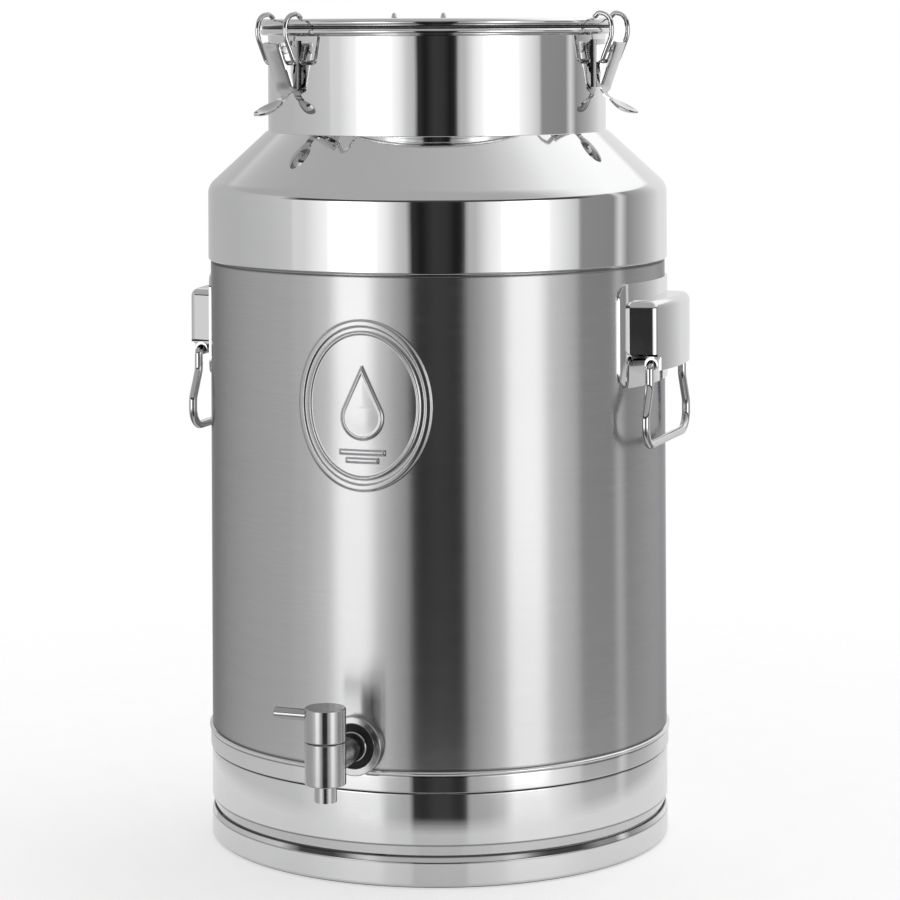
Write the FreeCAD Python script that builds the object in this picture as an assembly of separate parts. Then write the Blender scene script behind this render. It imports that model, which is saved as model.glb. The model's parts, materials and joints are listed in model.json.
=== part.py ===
import FreeCAD, Part
import os
import math

# Stainless 50 litre milk can with outlet tap, clamped lid and drop handles.
# Millimetres. +Z up, origin at the centre of the foot ring's bottom face.
# The tap and the raised cartouche face -Y, the carrying handles are at +X and -X.
# _R is a radius, _T a sheet thickness, _Z a height, _HALF half a width.

Vector = FreeCAD.Vector
ORIGIN = Vector(0, 0, 0)
X_AXIS, Y_AXIS, Z_AXIS = Vector(1, 0, 0), Vector(0, 1, 0), Vector(0, 0, 1)

GAP = 0.02              # clearance between touching pieces
HAIR = GAP / 2          # finer clearance, or a cutter's small overlap
RUN = 0.05              # clearance of moving parts

# dimensions shared by several sections
WALL_R, WALL_T = 179.4, 1.0         # outside of the cylinder
NECK_R, NECK_T = 133.6, 1.0
RIM_TOP = 631.5
TAP_Y, TAP_Z = -238.5, 103.5        # axis of the tap's barrel, height of its shank
SHANK_R = 10.45
BOSS_R = 22.0


# ---------------------------------------------------------------------------
# helpers
# ---------------------------------------------------------------------------
def export(shape, name):
    if len(shape.Solids) == 1:
        shape = shape.removeSplitter()
    shape.exportStep("parts/%s.step" % name)


def turned(shape, angle):
    """A copy turned about Z, in degrees."""
    copy = shape.copy()
    copy.rotate(ORIGIN, Z_AXIS, angle)
    return copy


def rounded_edges(points, radii):
    """Edges of an open polyline whose inner corners are rounded by arcs."""
    edges = []
    start = points[0]
    for before, corner, after, radius in zip(points, points[1:], points[2:], radii):
        arriving = (corner - before).normalize()
        leaving = (after - corner).normalize()
        half_turn = arriving.getAngle(leaving) / 2
        setback = radius * math.tan(half_turn)
        arc_start = corner - arriving * setback
        arc_end = corner + leaving * setback
        inward = (leaving - arriving).normalize()
        arc_middle = corner + inward * (radius / math.cos(half_turn)) - inward * radius
        edges.append(Part.makeLine(start, arc_start))
        edges.append(Part.Arc(arc_start, arc_middle, arc_end).toShape())
        start = arc_end
    edges.append(Part.makeLine(start, points[-1]))
    return edges


def sheet_section(points, radii, thickness):
    """Section in the XZ plane of a bent sheet; its centre line is the rounded (x, z) polyline."""
    centre = [Vector(x, 0, z) for x, z in points]
    along = [(end - start).normalize() for start, end in zip(centre, centre[1:])]
    normals = [Vector(-d.z, 0, d.x) for d in along]

    def side(offset):
        line = [centre[0] + normals[0] * offset]
        bends = []
        for i, radius in enumerate(radii, 1):
            before, after = normals[i - 1], normals[i]
            mitre = (before + after) * (1.0 / (1 + before.dot(after)))
            line.append(centre[i] + mitre * offset)
            turn = along[i - 1].x * along[i].z - along[i - 1].z * along[i].x
            bends.append(radius - offset if turn > 0 else radius + offset)
        line.append(centre[-1] + normals[-1] * offset)
        return line, bends

    line_a, bends_a = side(thickness / 2)
    line_b, bends_b = side(-thickness / 2)
    edges = rounded_edges(line_a, bends_a) + rounded_edges(line_b, bends_b)
    edges += [Part.makeLine(line_a[0], line_b[0]), Part.makeLine(line_a[-1], line_b[-1])]
    return Part.Face(Part.Wire(Part.__sortEdges__(edges)))


def spun_sheet(points, radii, thickness):
    """A sheet turned about Z; the points are (radius, z)."""
    return sheet_section(points, radii, thickness).revolve(ORIGIN, Z_AXIS, 360)


def bent_bar(points, radii, thickness, half_width):
    """A flat bar bent in the XZ plane and centred on y = 0."""
    bar = sheet_section(points, radii, thickness).extrude(Vector(0, 2 * half_width, 0))
    bar.translate(Vector(0, -half_width, 0))
    return bar


def fillet_circles(shape, radius, wanted=lambda circle: True):
    """Rounds the circular edges whose curve passes the test."""
    picked = [e for e in shape.Edges if isinstance(e.Curve, Part.Circle) and wanted(e.Curve)]
    return shape.makeFillet(radius, picked)


def at_y(y):
    """Test for circles centred at this y."""
    return lambda circle: abs(circle.Center.y - y) < 1e-6


def tube(inner_r, outer_r, bottom, top, outer_fillet=0.0):
    """A square-section ring about Z, with its outer edges rounded if asked."""
    shape = Part.makeCylinder(outer_r, top - bottom, Vector(0, 0, bottom))
    shape = shape.cut(Part.makeCylinder(inner_r, top - bottom + 2, Vector(0, 0, bottom - 1)))
    if outer_fillet > 0:
        shape = fillet_circles(shape, outer_fillet, lambda c: abs(c.Radius - outer_r) < 1e-6)
    return shape


def sector(inner_r, outer_r, half_angle, bottom, top):
    """A cylinder wall segment about Z, centred on +X."""
    height = top - bottom
    wedge = Part.makeCylinder(outer_r, height, Vector(0, 0, bottom), Z_AXIS, 2 * half_angle)
    wedge.rotate(ORIGIN, Z_AXIS, -half_angle)
    return wedge.cut(Part.makeCylinder(inner_r, height + 2, Vector(0, 0, bottom - 1)))


def rod(points, radii, radius):
    """A round bar that follows a rounded polyline in space."""
    path = Part.Wire(rounded_edges(points, radii))
    profile = Part.makeCircle(radius, points[0], (points[1] - points[0]).normalize())
    pipe = Part.BRepOffsetAPI.MakePipeShell(path)
    pipe.setFrenetMode(False)
    pipe.add(Part.Wire([profile]))
    pipe.build()
    pipe.makeSolid()
    return pipe.shape()


def prism(points, direction):
    return Part.Face(Part.makePolygon(points + [points[0]])).extrude(direction)


def hexagon_prism(corner_r, y, z, length):
    """A hexagonal bar along +Y, starting at y."""
    angles = [math.radians(60 * i) for i in range(6)]
    corners = [Vector(corner_r * math.cos(a), y, z + corner_r * math.sin(a)) for a in angles]
    return prism(corners, Vector(0, length, 0))


def cylinder_y(radius, y_start, y_end, x=0.0, z=TAP_Z):
    return Part.makeCylinder(radius, y_end - y_start, Vector(x, y_start, z), Y_AXIS)


# ---------------------------------------------------------------------------
# vessel shells
# ---------------------------------------------------------------------------
WALL_BOTTOM, WALL_TOP = 70.0, 462.0
SHOULDER_R, SHOULDER_T = 181.2, 1.75    # outside of the shoulder band
SHOULDER_BOTTOM = 450.0
SHOULDER_CORNER_Z = 507.3               # where the band and the cone would meet
SHOULDER_BEND_R = 12.0
CONE_TOP = (134.6, 549.5)               # radius, z
NECK_BOTTOM = 544.0
RIM_R, RIM_BOTTOM, RIM_FILLET = 139.5, 626.0, 2.4
FLOOR_Z, FLOOR_RISE, FLOOR_T = 72.0, 6.0, 1.2    # floor height at the wall, and its rise inside
FLOOR_FLAT_R, FLOOR_FLANGE = 90.0, 15.5

CARTOUCHE_Z = 353.5
CARTOUCHE_HALF_WIDTH, CARTOUCHE_HALF_HEIGHT, CARTOUCHE_BEAD = 47.0, 61.0, 4.5
CARTOUCHE_SINK, CARTOUCHE_RELIEF = 0.5, 1.1      # into the wall, and proud of it
DROP_R, DROP_ANGLE = 17.0, 28.0                  # the tip springs from the circle at this angle
DROP_Z, DROP_TIP_Z = CARTOUCHE_Z - 8, CARTOUCHE_Z + 30
CUT_Y = -150.0                                   # the cartouche outlines run forwards from here
CUT_DEPTH = Vector(0, -60, 0)


def ellipse_prism(half_height, half_width):
    ellipse = Part.Ellipse(Vector(0, CUT_Y, CARTOUCHE_Z), half_height, half_width)
    face = Part.Face(Part.Wire([ellipse.toShape()]))
    # made in XY: stand it up in XZ with its long side along Z
    centre = Vector(0, CUT_Y, CARTOUCHE_Z)
    face.rotate(centre, Z_AXIS, 90)
    face.rotate(centre, X_AXIS, 90)
    return face.extrude(CUT_DEPTH)


def cartouche():
    """Raised bead of an upright oval with a plain drop inside."""
    skin = tube(WALL_R - CARTOUCHE_SINK, WALL_R + CARTOUCHE_RELIEF,
                CARTOUCHE_Z - 80, CARTOUCHE_Z + 80)
    frame = ellipse_prism(CARTOUCHE_HALF_HEIGHT, CARTOUCHE_HALF_WIDTH).cut(
        ellipse_prism(CARTOUCHE_HALF_HEIGHT - CARTOUCHE_BEAD,
                      CARTOUCHE_HALF_WIDTH - CARTOUCHE_BEAD))
    drop = Part.makeCylinder(DROP_R, 60, Vector(0, CUT_Y, DROP_Z), Vector(0, -1, 0))
    tip_x = DROP_R * math.cos(math.radians(DROP_ANGLE))
    tip_base = DROP_Z + DROP_R * math.sin(math.radians(DROP_ANGLE))
    tip = prism([Vector(-tip_x, CUT_Y, tip_base),
                 Vector(0, CUT_Y, DROP_TIP_Z),
                 Vector(tip_x, CUT_Y, tip_base)], CUT_DEPTH)
    return frame.fuse(drop.fuse(tip)).common(skin)


def body_wall():
    wall = tube(WALL_R - WALL_T, WALL_R, WALL_BOTTOM, WALL_TOP).fuse(cartouche())
    return wall.cut(cylinder_y(SHANK_R + 0.15, -200, -150))


def shoulder_shell():
    band_r = SHOULDER_R - SHOULDER_T / 2
    shell = spun_sheet([(band_r, SHOULDER_BOTTOM), (band_r, SHOULDER_CORNER_Z), CONE_TOP],
                       [SHOULDER_BEND_R], SHOULDER_T)
    return shell.cut(Part.makeCylinder(NECK_R + HAIR, 60, Vector(0, 0, 520)))


def neck_collar():
    neck = tube(NECK_R - NECK_T, NECK_R, NECK_BOTTOM, RIM_TOP - 0.8)
    return neck.fuse(tube(NECK_R - NECK_T, RIM_R, RIM_BOTTOM, RIM_TOP, RIM_FILLET))


def vessel_floor():
    flange_r = WALL_R - WALL_T - FLOOR_T / 2 - GAP
    return spun_sheet(
        [(0, FLOOR_Z + FLOOR_RISE), (FLOOR_FLAT_R, FLOOR_Z + FLOOR_RISE),
         (flange_r, FLOOR_Z), (flange_r, FLOOR_Z + FLOOR_FLANGE)],
        [400.0, 8.0], FLOOR_T)


# ---------------------------------------------------------------------------
# base
# ---------------------------------------------------------------------------
BAND_R, BAND_BOTTOM, BAND_TOP = 180.7, 70.0, 86.0
BEAD_HALF, BEAD_BULGE = 1.5, 1.0        # bead around the band, just below its top
BEAD_Z = BAND_TOP - 1.7
SKIRT_R, BASE_T = 179.7, 1.0            # BASE_T serves the skirt and the foot ring
FOOT_R, FOOT_LIP_R = 179.8, 174.5       # outside, and inner end of the turned-in bottom
GROOVE_R = 177.0                        # bottom of the groove between skirt and foot
GROOVE_BOTTOM, GROOVE_TOP = 18.6, 31.5


def seam_band():
    """Band around the wall's foot, with room for the tap's boss ring."""
    inner_bottom = Vector(WALL_R + HAIR, 0, BAND_BOTTOM)
    outer_bottom = Vector(BAND_R, 0, BAND_BOTTOM)
    bead_bottom = Vector(BAND_R, 0, BEAD_Z - BEAD_HALF)
    bead_crest = Vector(BAND_R + BEAD_BULGE, 0, BEAD_Z)
    bead_top = Vector(BAND_R, 0, BEAD_Z + BEAD_HALF)
    outer_top = Vector(BAND_R, 0, BAND_TOP)
    inner_top = Vector(WALL_R + HAIR, 0, BAND_TOP)
    section = Part.Wire(Part.__sortEdges__([
        Part.makeLine(inner_bottom, outer_bottom),
        Part.makeLine(outer_bottom, bead_bottom),
        Part.Arc(bead_bottom, bead_crest, bead_top).toShape(),
        Part.makeLine(bead_top, outer_top),
        Part.makeLine(outer_top, inner_top),
        Part.makeLine(inner_top, inner_bottom)]))
    band = Part.Face(section).revolve(ORIGIN, Z_AXIS, 360)
    return band.cut(cylinder_y(BOSS_R + 0.03, -200, -150))


def base_skirt():
    skirt_r, groove_r = SKIRT_R - BASE_T / 2, GROOVE_R - BASE_T / 2
    return spun_sheet(
        [(skirt_r, BAND_BOTTOM - GAP), (skirt_r, GROOVE_TOP), (groove_r, 23.0), (groove_r, 6.0)],
        [10.0, 6.0], BASE_T)


def foot_ring():
    half = BASE_T / 2
    return spun_sheet(
        [(FOOT_LIP_R, half), (FOOT_R - half, half), (FOOT_R - half, GROOVE_BOTTOM),
         (GROOVE_R + half + 0.12, 22.4)],
        [1.6, 6.0], BASE_T)


# ---------------------------------------------------------------------------
# lid, with its silicone seal and sunk handle
# ---------------------------------------------------------------------------
LID_R, LID_BOTTOM, LID_TOP, LID_T = 140.0, 632.5, 638.8, 1.2
CURL_R = 3.13                           # rolled edge
PLUG_SIDE_R = 129.6                     # outside of the sunk part
PAN_EDGE_Z, PAN_Z = 608.0, 611.0        # sunk floor at its edge and in the middle
PAN_RADII = [300.0, 7.0, 3.0]
# (radius, z): the sunk floor, then its side and the flange over the neck
PAN_FLOOR = [(0, PAN_Z), (60, PAN_Z), (PLUG_SIDE_R - LID_T / 2, PAN_EDGE_Z)]
PAN_SIDE = [(PLUG_SIDE_R - LID_T / 2, 634.2), (136.0, 634.2)]

STRAP_Z = PAN_Z + LID_T / 2             # underside of the strap handle's feet
STRAP_T, STRAP_HALF = 2.0, 12.0
STRAP_TOP = 634.5
RIVET_R = 3.4


def lid_disc():
    curl = Part.makeTorus(LID_R - CURL_R, CURL_R, Vector(0, 0, (LID_BOTTOM + LID_TOP) / 2))
    return curl.fuse(spun_sheet(PAN_FLOOR + PAN_SIDE, PAN_RADII, LID_T))


def lid_seal():
    """Flat ring on the rim with a lip down inside the neck."""
    flat = tube(PLUG_SIDE_R + 0.5, 138.6, RIM_TOP + GAP, LID_BOTTOM - GAP)
    lip = tube(PLUG_SIDE_R + 0.05, NECK_R - NECK_T - 0.35, 622.0, RIM_TOP + 0.1, 0.8)
    return flat.fuse(lip)


def lid_handle():
    """Flat bar bent to a low bridge with two feet, along X."""
    foot_z = STRAP_Z + STRAP_T / 2
    strap = bent_bar(
        [(-66, foot_z), (-42, foot_z), (-32, STRAP_TOP),
         (32, STRAP_TOP), (42, foot_z), (66, foot_z)],
        [7.0, 9.0, 9.0, 7.0], STRAP_T, STRAP_HALF)
    strap = strap.cut(spun_sheet(PAN_FLOOR, PAN_RADII[:1], LID_T))
    # the largest solid, should the cut leave slivers
    return max(strap.Solids, key=lambda solid: solid.Volume)


def lid_handle_rivets():
    """Domed heads, two on each foot."""
    rivets = []
    for x in (-58, 58):
        for y in (-6, 6):
            above_strap = Part.makeBox(20, 20, 6, Vector(x - 10, y - 10, STRAP_Z + STRAP_T))
            ball = Part.makeSphere(RIVET_R, Vector(x, y, STRAP_Z + RIVET_R / 2))
            rivets.append(ball.common(above_strap))
    return Part.makeCompound(rivets)


# ---------------------------------------------------------------------------
# toggle clips, built at +X. Local points are (outward from the neck surface, z)
# ---------------------------------------------------------------------------
CLIP_AZIMUTH = {"a": -36.4, "b": 89.5, "c": 206.2}   # degrees from -Y towards +X
LEVER_PIVOT = (13.3, 615.0)
BAIL_PIVOT = (9.8, 605.0)                  # on the lever

LEVER_HALF, LEVER_T, WAIST_HALF = 12.25, 1.5, 5.6
STRAP_END, LEVER_BEND = (19.3, 619.7), (4.6, 579.0)  # top of the lever's strap, and its bend
TONGUE_END = (32.3, 565.3)
SPOON_CENTRE, SPOON_R = (21.35, 570.7), 12.2
DISH_R, DISH_DEPTH = 19.8, 3.9
# side flange: (distance up the strap from the bend, depth towards the neck)
FLANGE = [(7.0, 0.0), (8.5, 2.6), (15.5, 4.2), (21.0, 7.4), (29.5, 7.6), (40.0, 7.2)]
FLANGE_END_DEPTH = 4.8

# one leg of the bail, from its pivot to the tip hooked over the lid's edge
HOOK = [BAIL_PIVOT, (18.8, 627.0), (16.2, 640.9), (7.6, 642.7), (3.6, 638.6)]
HOOK_RADII = [20.0, 8.0, 3.0]
BAIL_R, BAIL_HALF, BAIL_BEND_R = 1.9, 20.8, 3.0

BASE_HALF, EAR_T, NOSE_R = 10.6, 2.2, 3.0
PIN_R, PIN_HEAD_R, PIN_HEAD_T = 2.0, 3.3, 1.3


def clip_point(outward, z, y=0.0):
    return Vector(NECK_R + outward, y, z)


def clip_bore(radius, pivot):
    """Cutter along Y through a pivot."""
    return cylinder_y(radius, -30, 30, NECK_R + pivot[0], pivot[1])


def clip_lever():
    # strap and finger tongue as one bent sheet
    sheet = bent_bar([(NECK_R + u, z) for u, z in (STRAP_END, LEVER_BEND, TONGUE_END)],
                     [5.0], LEVER_T, LEVER_HALF)
    # the strap narrows to a waist above the bend: (half width, z) up one side
    taper = [(WAIST_HALF, 573.0), (WAIST_HALF, 579.6), (LEVER_HALF, 583.6), (LEVER_HALF, 630.0)]
    outline = [clip_point(-5, z, -half) for half, z in taper]
    outline += [clip_point(-5, z, half) for half, z in reversed(taper)]
    strap_region = prism(outline, Vector(60, 0, 0))
    tongue_region = Part.makeBox(17.0, 2 * WAIST_HALF, 18, clip_point(-4.0, 562.0, -WAIST_HALF))
    lever = sheet.common(strap_region.fuse(tongue_region))

    # dished round spoon on the end of the tongue
    bend = clip_point(*LEVER_BEND)
    tongue = (clip_point(*TONGUE_END) - bend).normalize()
    normal = Vector(-tongue.z, 0, tongue.x)
    spoon = clip_point(*SPOON_CENTRE)
    centre = spoon + normal * (DISH_R - DISH_DEPTH)
    dish = Part.makeSphere(DISH_R + LEVER_T / 2, centre).cut(
        Part.makeSphere(DISH_R - LEVER_T / 2, centre))
    dish = dish.common(Part.makeCylinder(SPOON_R, 12, spoon - normal * 6, normal))
    lever = lever.fuse(dish)

    # side flanges with the two pivot holes
    strap = clip_point(*STRAP_END) - bend
    length = strap.Length
    strap.normalize()
    inward = Vector(-strap.z, 0, strap.x)
    flange = FLANGE + [(length, FLANGE_END_DEPTH), (length, 0.0)]
    for y in (-LEVER_HALF, LEVER_HALF - LEVER_T):
        start = bend + Vector(0, y, 0)
        corners = [start + strap * along + inward * depth for along, depth in flange]
        lever = lever.fuse(prism(corners, Vector(0, LEVER_T, 0)))
    for pivot, radius in ((LEVER_PIVOT, PIN_R), (BAIL_PIVOT, BAIL_R)):
        lever = lever.cut(clip_bore(radius + RUN, pivot))
    return lever


def clip_bail():
    """One wire: a hook, a leg, the axle through the lever, the other leg and its hook."""
    points = [clip_point(u, z, -BAIL_HALF) for u, z in reversed(HOOK)]
    points += [clip_point(u, z, BAIL_HALF) for u, z in HOOK]
    radii = HOOK_RADII[::-1] + [BAIL_BEND_R, BAIL_BEND_R] + HOOK_RADII
    wire = rod(points, radii, BAIL_R)
    for tip in (points[0], points[-1]):
        rims = [e for e in wire.Edges
                if isinstance(e.Curve, Part.Circle) and (e.Curve.Center - tip).Length < 1e-3]
        # the sweep may not end in a true circle, and such a tip stays sharp
        if rims:
            wire = wire.makeFillet(0.7, rims)
    return wire


def clip_base():
    """Plate on the neck with two ears for the pin."""
    pivot_u, pivot_z = LEVER_PIVOT
    plate = Part.makeBox(12, 2 * BASE_HALF, 37, clip_point(-4, 585, -BASE_HALF))
    plate = plate.common(Part.makeCylinder(NECK_R + 2.4, 60, Vector(0, 0, 570)))
    outline = [(-2, 604.5), (3, 604.5), (pivot_u - 0.8, pivot_z - 2.9),
               (pivot_u + 1.2, pivot_z), (pivot_u, pivot_z + NOSE_R), (-2, 617.5)]
    ears = []
    for y in (-BASE_HALF, BASE_HALF - EAR_T):
        ear = prism([clip_point(u, z, y) for u, z in outline], Vector(0, EAR_T, 0))
        nose = cylinder_y(NOSE_R, y, y + EAR_T, NECK_R + pivot_u, pivot_z)
        ears.append(ear.fuse(nose))
    base = plate.fuse(ears)
    base = base.cut(Part.makeCylinder(NECK_R + HAIR, 100, Vector(0, 0, 560)))
    return base.cut(clip_bore(PIN_R, LEVER_PIVOT))


def clip_pin():
    """Pivot pin with a rounded head at each end."""
    x, z = NECK_R + LEVER_PIVOT[0], LEVER_PIVOT[1]
    half = LEVER_HALF + 0.1
    pin = cylinder_y(PIN_R, -half - 1.2, half + 1.2, x, z)
    for side in (-1, 1):
        inner, outer = side * half, side * (half + PIN_HEAD_T)
        head = cylinder_y(PIN_HEAD_R, min(inner, outer), max(inner, outer), x, z)
        pin = pin.fuse(fillet_circles(head, 0.8, at_y(outer)))
    return pin


# ---------------------------------------------------------------------------
# carrying handles, built at +X and turned half a turn for -X
# ---------------------------------------------------------------------------
PLATE_R = 181.4                         # outside of the plate on the wall
PLATE_HALF_ANGLE, PLATE_BOTTOM, PLATE_TOP, PLATE_CORNER_R = 21.0, 358.0, 437.0, 12.0
SECTOR_HALF_ANGLE = PLATE_HALF_ANGLE + 3
BRACKET_R, BRACKET_T = 199.0, 1.8
BRACKET_BOTTOM, BRACKET_TOP = 371.0, 424.0
BRACKET_HALF, BRACKET_HALF_X = 52.5, 173.5    # half width, and the x where it is measured
BRACKET_DRAFT = 13.0                    # how far the sides lean in, degrees
BRACKET_FILLET = 6.5
ROD_X, ROD_Z, ROD_R = 187.2, 375.5, 3.25      # swing axis of the ring
BARREL_R, BARREL_HALF = 5.1, 41.0
# one half of the ring as (y, z), from its open end to the bottom corner, and its bends
RING_HALF = [(22, ROD_Z), (45.5, ROD_Z), (45.5, 359.0), (57.0, 337.0), (57.0, 314.8)]
RING_RADII = [4.4, 14, 14, 15]


def handle_plate():
    half = WALL_R * math.sin(math.radians(PLATE_HALF_ANGLE))
    y, low, high = half - PLATE_CORNER_R, PLATE_BOTTOM + PLATE_CORNER_R, PLATE_TOP - PLATE_CORNER_R
    centres = [(y, low), (y, high), (-y, high), (-y, low)]

    def on_corner(centre, angle):
        return Vector(150, centre[0] + PLATE_CORNER_R * math.cos(math.radians(angle)),
                      centre[1] + PLATE_CORNER_R * math.sin(math.radians(angle)))

    edges = []
    for i, centre in enumerate(centres):
        angle = 90 * i - 90
        start = on_corner(centre, angle)
        edges.append(Part.makeLine(on_corner(centres[i - 1], angle), start))
        edges.append(Part.Arc(start, on_corner(centre, angle + 45),
                              on_corner(centre, angle + 90)).toShape())
    outline = Part.Face(Part.Wire(edges)).extrude(Vector(50, 0, 0))
    return sector(WALL_R + GAP, PLATE_R, SECTOR_HALF_ANGLE, PLATE_BOTTOM, PLATE_TOP).common(outline)


def drafted(inset, inner_r, outer_r, bottom, top, fillet):
    """A wall segment with sides leaning in outwards, its outer top and upright edges rounded."""
    slope = math.tan(math.radians(BRACKET_DRAFT))
    half = BRACKET_HALF - inset / math.cos(math.radians(BRACKET_DRAFT))
    near, far = 150.0, 205.0
    near_half = half - (near - BRACKET_HALF_X) * slope
    far_half = half - (far - BRACKET_HALF_X) * slope
    plan = prism([Vector(near, -near_half, bottom), Vector(far, -far_half, bottom),
                  Vector(far, far_half, bottom), Vector(near, near_half, bottom)],
                 Vector(0, 0, top - bottom))
    block = sector(inner_r, outer_r, SECTOR_HALF_ANGLE, bottom, top).common(plan)
    picked = []
    for edge in block.Edges:
        box = edge.BoundBox
        middle = edge.valueAt((edge.FirstParameter + edge.LastParameter) / 2)
        middle_r = math.hypot(middle.x, middle.y)
        on_top = box.ZMin > top - 0.01 and middle_r > PLATE_R + 2.0
        upright_edge = box.ZMax - box.ZMin > 10 and middle_r > outer_r - 0.5
        if on_top or upright_edge:
            picked.append(edge)
    return block.makeFillet(fillet, picked)


def handle_bracket():
    outer = drafted(0.0, PLATE_R + GAP, BRACKET_R, BRACKET_BOTTOM, BRACKET_TOP, BRACKET_FILLET)
    inner = drafted(BRACKET_T, PLATE_R - 2, BRACKET_R - BRACKET_T, BRACKET_BOTTOM - 5,
                    BRACKET_TOP - BRACKET_T, BRACKET_FILLET - BRACKET_T)
    bracket = outer.cut(inner)
    # side walls stop higher than the front apron, and the apron is notched for the ring's bars
    cut_z = BRACKET_BOTTOM - 0.1
    for side_y, notch_y in ((-70, -51.4), (40.5, 40.2)):
        bracket = bracket.cut(Part.makeBox(23.5, 29.5, 12.6, Vector(170, side_y, cut_z)))
        bracket = bracket.cut(Part.makeBox(30, 11.2, 10.0, Vector(180, notch_y, cut_z)))
    # inner shelf that carries the barrel
    bracket = bracket.fuse(sector(PLATE_R + GAP, BRACKET_R - BRACKET_T / 2, 12.2,
                                  ROD_Z + 3.6, ROD_Z + 5.6))
    reach = BARREL_HALF + HAIR
    return bracket.cut(cylinder_y(BARREL_R, -reach, reach, ROD_X, ROD_Z))


def handle_barrel():
    barrel = cylinder_y(BARREL_R, -BARREL_HALF, BARREL_HALF, ROD_X, ROD_Z)
    reach = BARREL_HALF + 1
    return barrel.cut(cylinder_y(ROD_R + RUN, -reach, reach, ROD_X, ROD_Z))


def handle_ring():
    points = [Vector(ROD_X, -y, z) for y, z in RING_HALF]
    points += [Vector(ROD_X, y, z) for y, z in reversed(RING_HALF)]
    return rod(points, RING_RADII + RING_RADII[::-1], ROD_R)


# ---------------------------------------------------------------------------
# outlet tap
# ---------------------------------------------------------------------------
# faces across the vessel wall, as y from front to back
BOSS_FRONT, GASKET_FRONT = -186.0, -184.6
INNER_GASKET_BACK, WASHER_BACK = -174.0, -172.2
SHANK_HOLE_R = SHANK_R + GAP
NUT_CORNER_R, NUT_T = 15.0, 7.5

TAP_R, TAP_BOTTOM, TAP_TOP = 15.0, 88.5, 119.0
SHANK_BORE_R = 7.0
COLLAR_R, COLLAR_FRONT = 11.3, -187.6
SPOUT_R, SPOUT_BORE_R, SPOUT_BOTTOM = 8.25, 6.0, 76.0
SEAT_BOTTOM = TAP_BOTTOM + 3.0          # floor of the plug's seat
BONNET_R, BONNET_BOTTOM = 12.0, 113.6
PLUG_R, PLUG_TOP, PLUG_BORE_R = 8.9, 113.5, 5.5
PLUG_SEAL_Z = (94.2, 111.4)
STEM_R, STEM_TOP = 5.0, 136.0
HEAD_BOTTOM, HEAD_TOP = 119.35, 143.5
LEVER_ROD_R, LEVER_ROD_Z = 4.2, 137.0
LEVER_ROD_START, LEVER_ROD_END = -8.6, -39.5    # x
SCREW_R, SCREW_Z = 1.5, 127.5


def wall_ring(outer_r, front, back, bore_r):
    """A ring around the shank, between two y."""
    return cylinder_y(outer_r, front, back).cut(cylinder_y(bore_r, -190, -160))


def vessel_cylinder(radius):
    return Part.makeCylinder(radius, 300, ORIGIN)


def upright(radius, bottom, top):
    """A cylinder on the tap's vertical axis."""
    return Part.makeCylinder(radius, top - bottom, Vector(0, TAP_Y, bottom))


def tap_boss_ring():
    boss = wall_ring(BOSS_R, BOSS_FRONT, -170.0, 16.3)
    return fillet_circles(boss, 0.9, at_y(BOSS_FRONT)).cut(vessel_cylinder(WALL_R + HAIR))


def tap_gasket_outer():
    gasket = wall_ring(16.2, GASKET_FRONT, -170.0, SHANK_HOLE_R)
    return gasket.cut(vessel_cylinder(WALL_R + HAIR))


def tap_gasket_inner():
    inside_r = WALL_R - WALL_T - HAIR
    gasket = wall_ring(15.4, -inside_r, INNER_GASKET_BACK, SHANK_HOLE_R)
    return gasket.common(vessel_cylinder(inside_r))


def tap_washer_inner():
    return wall_ring(15.2, INNER_GASKET_BACK + GAP, WASHER_BACK, SHANK_HOLE_R)


def tap_locknut():
    """Hexagon nut whose corners are chamfered by two cones."""
    front = WASHER_BACK + GAP
    cone_start = Vector(0, front - HAIR, TAP_Z)
    chamfers = Part.makeCone(13.4, 22.0, 8.6, cone_start, Y_AXIS).common(
        Part.makeCone(21.0, 13.6, 7.6, cone_start, Y_AXIS))
    nut = hexagon_prism(NUT_CORNER_R, front, TAP_Z, NUT_T).common(chamfers)
    return nut.cut(cylinder_y(SHANK_HOLE_R, -180, -150))


def tap_body():
    """Upright barrel, shank with a collar towards the wall, spout below."""
    barrel = fillet_circles(upright(TAP_R, TAP_BOTTOM, TAP_TOP), 0.8)
    shank = cylinder_y(SHANK_R, TAP_Y + 4, -163.5)
    collar = cylinder_y(COLLAR_R, COLLAR_FRONT, GASKET_FRONT - GAP)
    collar = fillet_circles(collar, 1.2, at_y(COLLAR_FRONT))
    spout = upright(SPOUT_R, SPOUT_BOTTOM, TAP_BOTTOM + 1)
    body = barrel.fuse([shank, collar, spout])
    body = body.cut(cylinder_y(SHANK_BORE_R, TAP_Y, -160))
    body = body.cut(upright(SPOUT_BORE_R, SPOUT_BOTTOM - 1, SEAT_BOTTOM + 1))
    body = body.cut(upright(PLUG_R + RUN, SEAT_BOTTOM, 114.0))
    return body.cut(upright(BONNET_R, BONNET_BOTTOM, TAP_TOP + 1))


def tap_bonnet():
    bonnet = upright(BONNET_R - GAP, BONNET_BOTTOM + GAP, TAP_TOP)
    return bonnet.cut(upright(STEM_R + RUN, 100, 130))


def tap_plug():
    """Plug and stem, bored from below and towards +X, with two seal grooves."""
    plug = upright(PLUG_R, SEAT_BOTTOM + RUN, PLUG_TOP).fuse(upright(STEM_R, 113.0, STEM_TOP))
    plug = plug.cut(upright(PLUG_BORE_R, TAP_BOTTOM, 109.0))
    plug = plug.cut(Part.makeCylinder(PLUG_BORE_R, 20, Vector(0, TAP_Y, TAP_Z), X_AXIS))
    for z in PLUG_SEAL_Z:
        groove = upright(PLUG_R + 1, z - 0.95, z + 0.95)
        plug = plug.cut(groove.cut(upright(PLUG_R - 1.55, z - 2, z + 2)))
    return plug


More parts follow.
